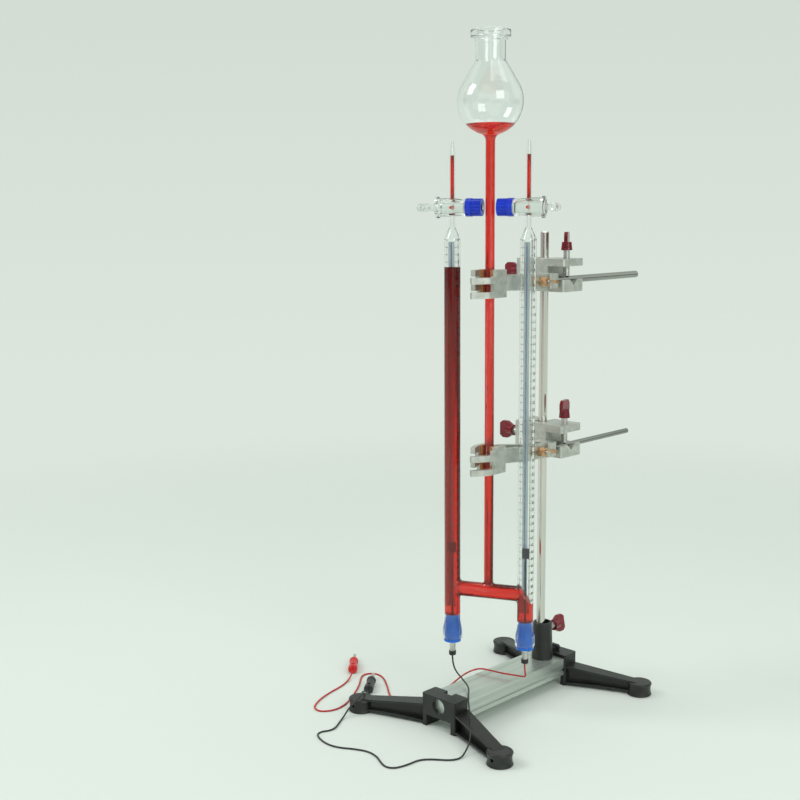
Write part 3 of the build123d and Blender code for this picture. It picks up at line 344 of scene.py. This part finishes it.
# Leads, along the routes of the CAD source
BLACK_ROUTE_MM = (
    (-30.354, -84.251, 62.5), (-30.354, -84.251, 54.5), (-27, -83.5, 44.5), (-14, -86, 38.5),
    (2, -95, 37.5), (14, -107, 38.2), (25.5, -122, 40.5), (30.5, -126, 30), (38, -133, 25.8),
    (48, -142.5, 25.5), (57.5, -154, 20.5), (61, -160, 11), (61.5, -167, 3.5), (65, -178, 1),
    (60, -189.5, 1), (47, -198, 1), (36, -209, 1), (35.5, -225, 1), (32, -240, 1),
    (23.5, -245.5, 1), (12, -241.5, 1), (0, -234.5, 1), (-15, -231.5, 1), (-31, -237.5, 1),
    (-44, -246, 1), (-57, -249, 1), (-69, -247.5, 1), (-80, -243.8, 1), (-87, -239, 1),
    (-88, -231, 1), (-83.5, -224, 1), (-84, -215, 1), (-91, -203, 1), (-98.5, -189.5, 1.2),
    (-98.5, -182, 8), (-93.5, -177.5, 16), (-94, -167, 20.5), (-101.5, -157, 20.3),
    (-109.5, -145.5, 15.5), (-120.4, -131.1, 5.5), (-127.2, -122.5, 5.5),
)
RED_ROUTE_MM = (
    (45.354, -49.749, 62.5), (45.354, -49.749, 54), (43, -44.5, 45), (33, -36, 39.5),
    (19, -36, 37.6), (5, -40.5, 37.4), (-10, -43, 37.6), (-24, -46, 37.3), (-36, -53, 31),
    (-43.5, -61, 23), (-49, -69, 15), (-56, -79, 7.5), (-66, -92, 2), (-78, -107, 1),
    (-93, -116, 1), (-107, -108.5, 1), (-124, -94, 1), (-142, -80.5, 1), (-153, -74.5, 1),
    (-163.5, -73, 1), (-171.5, -78.5, 1), (-172.5, -88.5, 1), (-165, -98.5, 1),
    (-154.5, -110.5, 1), (-144, -125.5, 1), (-132, -145, 1), (-123.5, -162, 1),
    (-120, -177.5, 1), (-123, -189.5, 1), (-131, -197, 1), (-141.5, -194.5, 1),
    (-149, -185, 1), (-156.5, -169.5, 1), (-162, -150, 1), (-165.5, -130, 1),
    (-172.5, -111.5, 1), (-178.5, -99.5, 5.5), (-186, -91.5, 5.5),
)


def make_lead(colour, route_mm, material):
    data = bpy.data.curves.new(f"{colour}_insulated_lead", "CURVE")
    data.dimensions = "3D"
    data.bevel_depth = LEAD_RADIUS
    data.bevel_resolution = 4
    data.resolution_u = 8
    data.use_fill_caps = True
    spline = data.splines.new("NURBS")
    spline.points.add(len(route_mm) - 1)
    for point, place in zip(spline.points, route_mm):
        point.co = (*(Vector(place) * MM), 1.0)
    spline.order_u = 3
    spline.use_endpoint_u = True
    data.materials.append(material)
    lead = bpy.data.objects.new(f"{colour}_insulated_lead", data)
    bpy.context.scene.collection.objects.link(lead)
    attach(lead, "stand")
    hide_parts(f"{colour}_lead")


make_lead("black", BLACK_ROUTE_MM, BLACK_RUBBER)
make_lead("red", RED_ROUTE_MM, RED_RUBBER)


def add_piece(name, mesh, body):
    piece = bpy.data.objects.new(name, mesh)
    bpy.context.scene.collection.objects.link(piece)
    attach(piece, body)
    return piece


def merged_copy(node):
    """A node's mesh as one closed shape, to be worked on."""
    shape = bmesh.new()
    shape.from_mesh(nodes[node].data)
    bmesh.ops.remove_doubles(shape, verts=shape.verts, dist=0.001 * MM)
    return shape


def smooth_mesh(name, shape, material, sharp_from=math.radians(32)):
    """The shape as a mesh that is smooth, apart from its edges."""
    mesh = bpy.data.meshes.new(name)
    shape.to_mesh(mesh)
    shape.free()
    mesh.shade_smooth()
    mesh.set_sharp_from_angle(angle=sharp_from)
    mesh.materials.append(material)
    return mesh


# The blown glass is one piece: the CAD's parting faces under and over the bulb go
GLASS_PARTINGS = (636.0 * MM, 667.8 * MM, 706.0 * MM)
PARTING_REACH = 0.01 * MM


def make_glass():
    """Keeps the CAD's own normals, which follow the true surface."""
    mesh = nodes["glass_body"].data.copy()
    mesh.name = "blown_glass"
    shape = bmesh.new()
    shape.from_mesh(mesh)
    parting = [
        face for face in shape.faces
        for height in GLASS_PARTINGS
        if all(abs(vertex.co.z - height) < PARTING_REACH for vertex in face.verts)
    ]
    bmesh.ops.delete(shape, geom=parting, context="FACES_ONLY")
    shape.to_mesh(mesh)
    shape.free()
    piece = add_piece("blown_glass", mesh, "stand")
    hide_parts("glass_body")


# The solution wets the bore: a copy of its solids reaches a little into the glass
WETTING = 0.2 * MM


def make_solution():
    shape = merged_copy("indicator_liquid")
    bmesh.ops.recalc_face_normals(shape, faces=shape.faces)
    shape.normal_update()
    for vertex in shape.verts:
        vertex.co += vertex.normal * WETTING
    mesh = smooth_mesh("solution_columns", shape, SOLUTION)
    piece = add_piece("solution_columns", mesh, "stand")
    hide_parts("indicator_liquid")


# Solution held in the bore of each shut key, square to the plane of the tubes
STOPCOCK_HEIGHT = 559.0 * MM
TUBES_FRONT = Vector((0.41469, -0.90996, 0.0))
KEY_BORE_RADIUS = 1.35 * MM
KEY_BORE_LENGTH = 12.2 * MM


def make_held_solution(side, centre):
    shape = bmesh.new()
    bmesh.ops.create_cone(
        shape, cap_ends=True, segments=20,
        radius1=KEY_BORE_RADIUS, radius2=KEY_BORE_RADIUS, depth=KEY_BORE_LENGTH,
    )
    turn = TUBES_FRONT.to_track_quat("Z", "Y").to_matrix().to_4x4()
    place = Matrix.Translation(centre + Vector((0, 0, STOPCOCK_HEIGHT))) @ turn
    bmesh.ops.transform(shape, matrix=place, verts=shape.verts)
    name = f"{side}_key_solution"
    add_piece(name, smooth_mesh(name, shape, SOLUTION), f"{side}_key")


make_glass()
make_solution()
make_held_solution("left", LEFT_TUBE)
make_held_solution("right", RIGHT_TUBE)


# Scale marks: one tree makes a column of arcs round a tube
def scale_tree():
    tree = bpy.data.node_groups.new("column_of_marks", "GeometryNodeTree")
    sizes = (
        ("Radius", "NodeSocketFloat", TUBE_RADIUS),
        ("Start", "NodeSocketFloat", 0.0),
        ("Sweep", "NodeSocketFloat", 0.4),
        ("Count", "NodeSocketInt", SCALE_LENGTH_ML + 1),
        ("Step", "NodeSocketFloat", -MILLILITRE),
        ("Line", "NodeSocketFloat", 0.1 * MM),
        ("Finish", "NodeSocketMaterial", None),
    )
    for name, kind, value in sizes:
        socket = tree.interface.new_socket(name, in_out="INPUT", socket_type=kind)
        if value is not None:
            socket.default_value = value
    tree.interface.new_socket("Geometry", in_out="OUTPUT", socket_type="NodeSocketGeometry")
    make = tree.nodes.new
    link = tree.links.new
    given = make("NodeGroupInput")
    arc = make("GeometryNodeCurveArc")
    arc.inputs["Resolution"].default_value = 7
    link(given.outputs["Radius"], arc.inputs["Radius"])
    link(given.outputs["Start"], arc.inputs["Start Angle"])
    link(given.outputs["Sweep"], arc.inputs["Sweep Angle"])
    wire = make("GeometryNodeCurvePrimitiveCircle")
    wire.inputs["Resolution"].default_value = 4
    link(given.outputs["Line"], wire.inputs["Radius"])
    mark = make("GeometryNodeCurveToMesh")
    mark.inputs["Fill Caps"].default_value = True
    link(arc.outputs["Curve"], mark.inputs["Curve"])
    link(wire.outputs["Curve"], mark.inputs["Profile Curve"])
    offset = make("ShaderNodeCombineXYZ")
    link(given.outputs["Step"], offset.inputs["Z"])
    column = make("GeometryNodeMeshLine")
    link(given.outputs["Count"], column.inputs["Count"])
    link(offset.outputs["Vector"], column.inputs["Offset"])
    spread_marks = make("GeometryNodeInstanceOnPoints")
    link(column.outputs["Mesh"], spread_marks.inputs["Points"])
    link(mark.outputs["Mesh"], spread_marks.inputs["Instance"])
    whole = make("GeometryNodeRealizeInstances")
    link(spread_marks.outputs["Instances"], whole.inputs["Geometry"])
    finish = make("GeometryNodeSetMaterial")
    link(whole.outputs["Geometry"], finish.inputs["Geometry"])
    link(given.outputs["Finish"], finish.inputs["Material"])
    result = make("NodeGroupOutput")
    link(finish.outputs["Geometry"], result.inputs["Geometry"])
    return tree


MARK_TREE = scale_tree()


def grown_mesh(name, tree, values):
    """The plain mesh that a tree grows with the given named inputs."""
    seed = bpy.data.objects.new(name, bpy.data.meshes.new(name))
    bpy.context.scene.collection.objects.link(seed)
    modifier = seed.modifiers.new("grow", "NODES")
    modifier.node_group = tree
    for item in tree.interface.items_tree:
        if item.item_type == "SOCKET" and item.in_out == "INPUT" and item.name in values:
            modifier[item.identifier] = values[item.name]
    graph = bpy.context.evaluated_depsgraph_get()
    mesh = bpy.data.meshes.new_from_object(seed.evaluated_get(graph))
    mesh.name = name
    bpy.data.objects.remove(seed)
    return mesh


def joined(name, meshes, finish, body):
    shape = bmesh.new()
    for mesh in meshes:
        shape.from_mesh(mesh)
    whole = bpy.data.meshes.new(name)
    shape.to_mesh(whole)
    shape.free()
    whole.materials.append(finish)
    for polygon in whole.polygons:
        polygon.material_index = 0
    return add_piece(name, whole, body)


# Angles round a tube count from the side that faces the camera, positive to the camera's right
FACING_CAMERA = CAMERA_TURN - math.pi / 2
LINE_RADIUS = 0.25 * MM
FIGURE_HEIGHT = 3.4 * MM
FIGURE_ANGLE = math.radians(34)
FIGURE_LIFT = 0.06 * MM
FIGURE_WEIGHT = 0.12 * MM
COLUMNS = (
    ("whole_left", -62, 27, SCALE_LENGTH_ML + 1, MILLILITRE),
    ("whole_right", 14, 17, SCALE_LENGTH_ML + 1, MILLILITRE),
    ("fifths", 14, 9, 5 * SCALE_LENGTH_ML + 1, MILLILITRE / 5),
)


def figure_mesh(text):
    data = bpy.data.curves.new("figure", "FONT")
    data.body = text
    data.size = FIGURE_HEIGHT * 1.35
    data.resolution_u = 2
    data.offset = FIGURE_WEIGHT
    data.align_y = "CENTER"
    writing = bpy.data.objects.new("figure", data)
    bpy.context.scene.collection.objects.link(writing)
    graph = bpy.context.evaluated_depsgraph_get()
    mesh = bpy.data.meshes.new_from_object(writing.evaluated_get(graph))
    bpy.data.objects.remove(writing)
    return mesh


def wrap_round_tube(mesh, centre, height):
    """Bends flat writing round a tube at the given height."""
    radius = TUBE_RADIUS + FIGURE_LIFT
    for vertex in mesh.vertices:
        angle = FACING_CAMERA + FIGURE_ANGLE + vertex.co.x / radius
        vertex.co = (
            centre.x + radius * math.cos(angle),
            centre.y + radius * math.sin(angle),
            height + vertex.co.y,
        )


def make_scale(side, centre):
    meshes = []
    for name, start, sweep, count, step in COLUMNS:
        values = {
            "Radius": TUBE_RADIUS,
            "Start": FACING_CAMERA + math.radians(start),
            "Sweep": math.radians(sweep),
            "Count": count,
            "Step": -step,
            "Line": LINE_RADIUS if count == SCALE_LENGTH_ML + 1 else LINE_RADIUS * 0.4,
            "Finish": SCALE_ENAMEL,
        }
        mesh = grown_mesh(f"{side}_{name}_marks", MARK_TREE, values)
        mesh.transform(Matrix.Translation(centre + Vector((0, 0, ZERO_MARK))))
        meshes.append(mesh)
    for millilitres in range(SCALE_LENGTH_ML + 1):
        mesh = figure_mesh(str(millilitres))
        wrap_round_tube(mesh, centre, ZERO_MARK - millilitres * MILLILITRE)
        meshes.append(mesh)
    joined(f"{side}_tube_scale", meshes, SCALE_ENAMEL, "stand")


make_scale("left", LEFT_TUBE)
make_scale("right", RIGHT_TUBE)

# Threads: one tree winds a ridge, which is then laid along each stud
THREAD_PITCH = 1.0 * MM
STUD_RADIUS = 3.5 * MM
RIDGE_RADIUS = 0.22 * MM


def thread_tree():
    tree = bpy.data.node_groups.new("wound_ridge", "GeometryNodeTree")
    sizes = (
        ("Radius", "NodeSocketFloat", STUD_RADIUS),
        ("Length", "NodeSocketFloat", 20 * MM),
        ("Turns", "NodeSocketFloat", 20.0),
        ("Ridge", "NodeSocketFloat", RIDGE_RADIUS),
        ("Finish", "NodeSocketMaterial", None),
    )
    for name, kind, value in sizes:
        socket = tree.interface.new_socket(name, in_out="INPUT", socket_type=kind)
        if value is not None:
            socket.default_value = value
    tree.interface.new_socket("Geometry", in_out="OUTPUT", socket_type="NodeSocketGeometry")
    make = tree.nodes.new
    link = tree.links.new
    given = make("NodeGroupInput")
    helix = make("GeometryNodeCurveSpiral")
    helix.inputs["Resolution"].default_value = 24
    link(given.outputs["Turns"], helix.inputs["Rotations"])
    link(given.outputs["Radius"], helix.inputs["Start Radius"])
    link(given.outputs["Radius"], helix.inputs["End Radius"])
    link(given.outputs["Length"], helix.inputs["Height"])
    ridge = make("GeometryNodeCurvePrimitiveCircle")
    ridge.inputs["Resolution"].default_value = 4
    link(given.outputs["Ridge"], ridge.inputs["Radius"])
    wound = make("GeometryNodeCurveToMesh")
    wound.inputs["Fill Caps"].default_value = True
    link(helix.outputs["Curve"], wound.inputs["Curve"])
    link(ridge.outputs["Curve"], wound.inputs["Profile Curve"])
    finish = make("GeometryNodeSetMaterial")
    link(wound.outputs["Mesh"], finish.inputs["Geometry"])
    link(given.outputs["Finish"], finish.inputs["Material"])
    result = make("NodeGroupOutput")
    link(finish.outputs["Geometry"], result.inputs["Geometry"])
    return tree


THREAD_TREE = thread_tree()
THREAD_INSET = 0.7 * MM


def make_thread(stud, body):
    """A thread along the stud's longest side, a little short of its ends."""
    low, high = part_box(stud)
    size = high - low
    along = max(range(3), key=lambda axis: size[axis])
    length = size[along] - 2 * THREAD_INSET
    radius = min(size) / 2 - RIDGE_RADIUS / 3
    values = {
        "Radius": radius,
        "Length": length,
        "Turns": length / THREAD_PITCH,
        "Ridge": RIDGE_RADIUS,
        "Finish": TURNED_STEEL,
    }
    mesh = grown_mesh(f"{stud}_thread", THREAD_TREE, values)
    axis = Vector((along == 0, along == 1, along == 2))
    start = (low + high) / 2 - axis * length / 2
    turn = axis.to_track_quat("Z", "Y").to_matrix().to_4x4()
    mesh.transform(Matrix.Translation(start) @ turn)
    add_piece(f"{stud}_thread", mesh, body)


for level in LEVELS:
    for screw in ("stem", "rod"):
        make_thread(f"{level}_{screw}_screw_stud", f"{level}_{screw}_screw")
make_thread("holder_screw_stud", "holder_screw")

# Enamel stripe with a blue line, fused to the back of each tube
STRIPE_TOP = 522.5 * MM
STRIPE_FOOT = 118.0 * MM
STRIPE_HALF_ANGLE = math.radians(27)
LINE_HALF_ANGLE = math.radians(6)
STRIPE_FACING = FACING_CAMERA + math.pi + math.radians(6)
STRIPE_THICKNESS = 0.12 * MM


def curved_strip(name, centre, half_angle, lift, material):
    """A closed strip on the outside of a tube, from the scale's foot to its top."""
    steps = 8
    shape = bmesh.new()
    rings = []
    for radius in (TUBE_RADIUS + lift, TUBE_RADIUS + lift + STRIPE_THICKNESS):
        for height in (STRIPE_FOOT, STRIPE_TOP):
            ring = []
            for step in range(steps + 1):
                angle = STRIPE_FACING + half_angle * (2 * step / steps - 1)
                ring.append(
                    shape.verts.new(
                        (
                            centre.x + radius * math.cos(angle),
                            centre.y + radius * math.sin(angle),
                            height,
                        )
                    )
                )
            rings.append(ring)
    inner_foot, inner_top, outer_foot, outer_top = rings
    for step in range(steps):
        for low, high in (
            (inner_foot, inner_top), (inner_top, outer_top),
            (outer_top, outer_foot), (outer_foot, inner_foot),
        ):
            shape.faces.new((low[step], low[step + 1], high[step + 1], high[step]))
    for end in (0, steps):
        shape.faces.new((inner_foot[end], inner_top[end], outer_top[end], outer_foot[end]))
    bmesh.ops.recalc_face_normals(shape, faces=shape.faces)
    mesh = bpy.data.meshes.new(name)
    shape.to_mesh(mesh)
    shape.free()
    mesh.materials.append(material)
    return mesh


for side, centre in (("left", LEFT_TUBE), ("right", RIGHT_TUBE)):
    white = curved_strip(f"{side}_white_stripe", centre, STRIPE_HALF_ANGLE, 0.03 * MM, WHITE_ENAMEL)
    add_piece(f"{side}_white_stripe", white, "stand")
    blue = curved_strip(f"{side}_blue_line", centre, LINE_HALF_ANGLE, 0.0, BLUE_ENAMEL)
    add_piece(f"{side}_blue_line", blue, "stand")


# Stage: a pale floor that keeps the shadows and fades into a glowing backdrop, with painted shade darkening
# it towards the top
FLOOR_COLOUR = (0.71, 0.765, 0.712)
LOW_BACKDROP = (0.716, 0.791, 0.723)
# Painted shade: the paper higher up glows in this darker colour, for the light falling off there.
SHADED_HIGH_BACKDROP = (0.631, 0.701, 0.638)
SWEEP_HALF_WIDTH = 6.0
SWEEP_BEND = 1.2
SWEEP_FAR = 1.9
SWEEP_HEIGHT = 4.0
FADE_START = 0.5
FADE_END = 1.8


def backdrop_material():
    """Paper that is lit near the object; farther off the eye and the gloss see it glow, in a colour with
    painted shade that darkens towards the top.
    """
    material, tree, shader = blank_material("pale_paper")
    make = tree.nodes.new
    link = tree.links.new
    shader.inputs["Base Color"].default_value = (*FLOOR_COLOUR, 1.0)
    shader.inputs["Roughness"].default_value = 0.9
    place = make("ShaderNodeTexCoord")
    reach = make("ShaderNodeVectorMath")
    reach.operation = "LENGTH"
    link(place.outputs["Object"], reach.inputs[0])
    fade = make("ShaderNodeMapRange")
    fade.interpolation_type = "SMOOTHSTEP"
    fade.inputs["From Min"].default_value = FADE_START
    fade.inputs["From Max"].default_value = FADE_END
    link(reach.outputs["Value"], fade.inputs["Value"])
    # Painted shade: the glow runs from the low colour to a darker one 1.6 m up.
    heights = make("ShaderNodeSeparateXYZ")
    link(place.outputs["Object"], heights.inputs["Vector"])
    upward_shade = make("ShaderNodeMapRange")
    upward_shade.inputs["From Max"].default_value = 1.6
    link(heights.outputs["Z"], upward_shade.inputs["Value"])
    plain = make("ShaderNodeEmission")
    colour = blend_colours(tree, upward_shade.outputs["Result"], LOW_BACKDROP, SHADED_HIGH_BACKDROP, 0.0, 1.0)
    link(colour, plain.inputs["Color"])
    ray = make("ShaderNodeLightPath")
    seen = make("ShaderNodeMath")
    seen.operation = "MAXIMUM"
    link(ray.outputs["Is Camera Ray"], seen.inputs[0])
    link(ray.outputs["Is Glossy Ray"], seen.inputs[1])
    through = make("ShaderNodeMath")
    through.operation = "MAXIMUM"
    link(seen.outputs["Value"], through.inputs[0])
    link(ray.outputs["Is Transmission Ray"], through.inputs[1])
    share = make("ShaderNodeMath")
    share.operation = "MULTIPLY"
    link(through.outputs["Value"], share.inputs[0])
    link(fade.outputs["Result"], share.inputs[1])
    mix = make("ShaderNodeMixShader")
    link(share.outputs["Value"], mix.inputs["Fac"])
    link(shader.outputs["BSDF"], mix.inputs[1])
    link(plain.outputs["Emission"], mix.inputs[2])
    link(mix.outputs["Shader"], tree.nodes["Material Output"].inputs["Surface"])
    return material


def make_stage():
    """A paper sweep: flat under the object, curving up behind it as the camera sees it."""
    right, up, forward = view_axes()
    away = Vector((forward.x, forward.y, 0.0)).normalized()
    across = Vector((right.x, right.y, 0.0)).normalized()
    line = [(-5.0, 0.0), (SWEEP_FAR, 0.0)]
    for step in range(1, 17):
        angle = step / 16 * math.pi / 2
        line.append((SWEEP_FAR + SWEEP_BEND * math.sin(angle), SWEEP_BEND * (1 - math.cos(angle))))
    line.append((SWEEP_FAR + SWEEP_BEND, SWEEP_HEIGHT))
    shape = bmesh.new()
    rows = []
    for distance, height in line:
        row = []
        for reach in (-SWEEP_HALF_WIDTH, SWEEP_HALF_WIDTH):
            place = away * distance + across * reach + Vector((0, 0, height - 0.0001))
            row.append(shape.verts.new(place))
        rows.append(row)
    for near, far in zip(rows, rows[1:]):
        face = shape.faces.new((near[0], near[1], far[1], far[0]))
        face.smooth = True
    mesh = bpy.data.meshes.new("paper_sweep")
    shape.to_mesh(mesh)
    shape.free()
    mesh.materials.append(backdrop_material())
    paper = bpy.data.objects.new("paper_sweep", mesh)
    bpy.context.scene.collection.objects.link(paper)


make_stage()

# Light: even on the object, while gloss and glass also see the darker parts of a room
WORLD_COLOUR = (0.94, 1.0, 0.955)
WORLD_STRENGTH = 0.62
WORLD_SEEN_STRENGTH = 0.95
ROOM_DARKEST = 0.22
ROOM_EDGE = (0.42, 0.56)
ROOM_GRAIN = 1.7
LAMPS = (
    ("window", Vector((-1.3, -1.6, 1.9)), (0.9, 1.2), 20.0),
    ("fill", Vector((1.9, -0.6, 1.3)), (1.0, 1.0), 12.0),
    ("top", Vector((0.1, 0.3, 2.3)), (1.6, 1.6), 14.0),
)


def make_world():
    world = bpy.data.worlds.new("studio")
    world.use_nodes = True
    background = world.node_tree.nodes["Background"]
    background.inputs["Color"].default_value = (*WORLD_COLOUR, 1.0)
    tree = world.node_tree
    direction = tree.nodes.new("ShaderNodeTexCoord").outputs["Generated"]
    room = tree.nodes.new("ShaderNodeMapRange")
    room.interpolation_type = "SMOOTHSTEP"
    room.inputs["From Min"].default_value, room.inputs["From Max"].default_value = ROOM_EDGE
    room.inputs["To Min"].default_value = ROOM_DARKEST
    room.inputs["To Max"].default_value = WORLD_SEEN_STRENGTH
    tree.links.new(noise(tree, direction, ROOM_GRAIN, 1.0), room.inputs["Value"])
    ray = tree.nodes.new("ShaderNodeLightPath")
    seen = tree.nodes.new("ShaderNodeMix")
    tree.links.new(ray.outputs["Is Camera Ray"], seen.inputs["Factor"])
    tree.links.new(room.outputs["Result"], seen.inputs["A"])
    seen.inputs["B"].default_value = WORLD_SEEN_STRENGTH
    strength = tree.nodes.new("ShaderNodeMix")
    tree.links.new(ray.outputs["Is Diffuse Ray"], strength.inputs["Factor"])
    tree.links.new(seen.outputs["Result"], strength.inputs["A"])
    strength.inputs["B"].default_value = WORLD_STRENGTH
    tree.links.new(strength.outputs["Result"], background.inputs["Strength"])
    bpy.context.scene.world = world


def make_lamps():
    target = Vector((0.0, 0.0, 0.35))
    for name, place, size, power in LAMPS:
        data = bpy.data.lights.new(name, "AREA")
        data.shape = "RECTANGLE"
        data.size, data.size_y = size
        data.energy = power
        lamp = bpy.data.objects.new(name, data)
        bpy.context.scene.collection.objects.link(lamp)
        lamp.location = place
        lamp.rotation_euler = (target - place).to_track_quat("-Z", "Y").to_euler()


make_world()
make_lamps()
bpy.context.scene.view_settings.view_transform = "Standard"
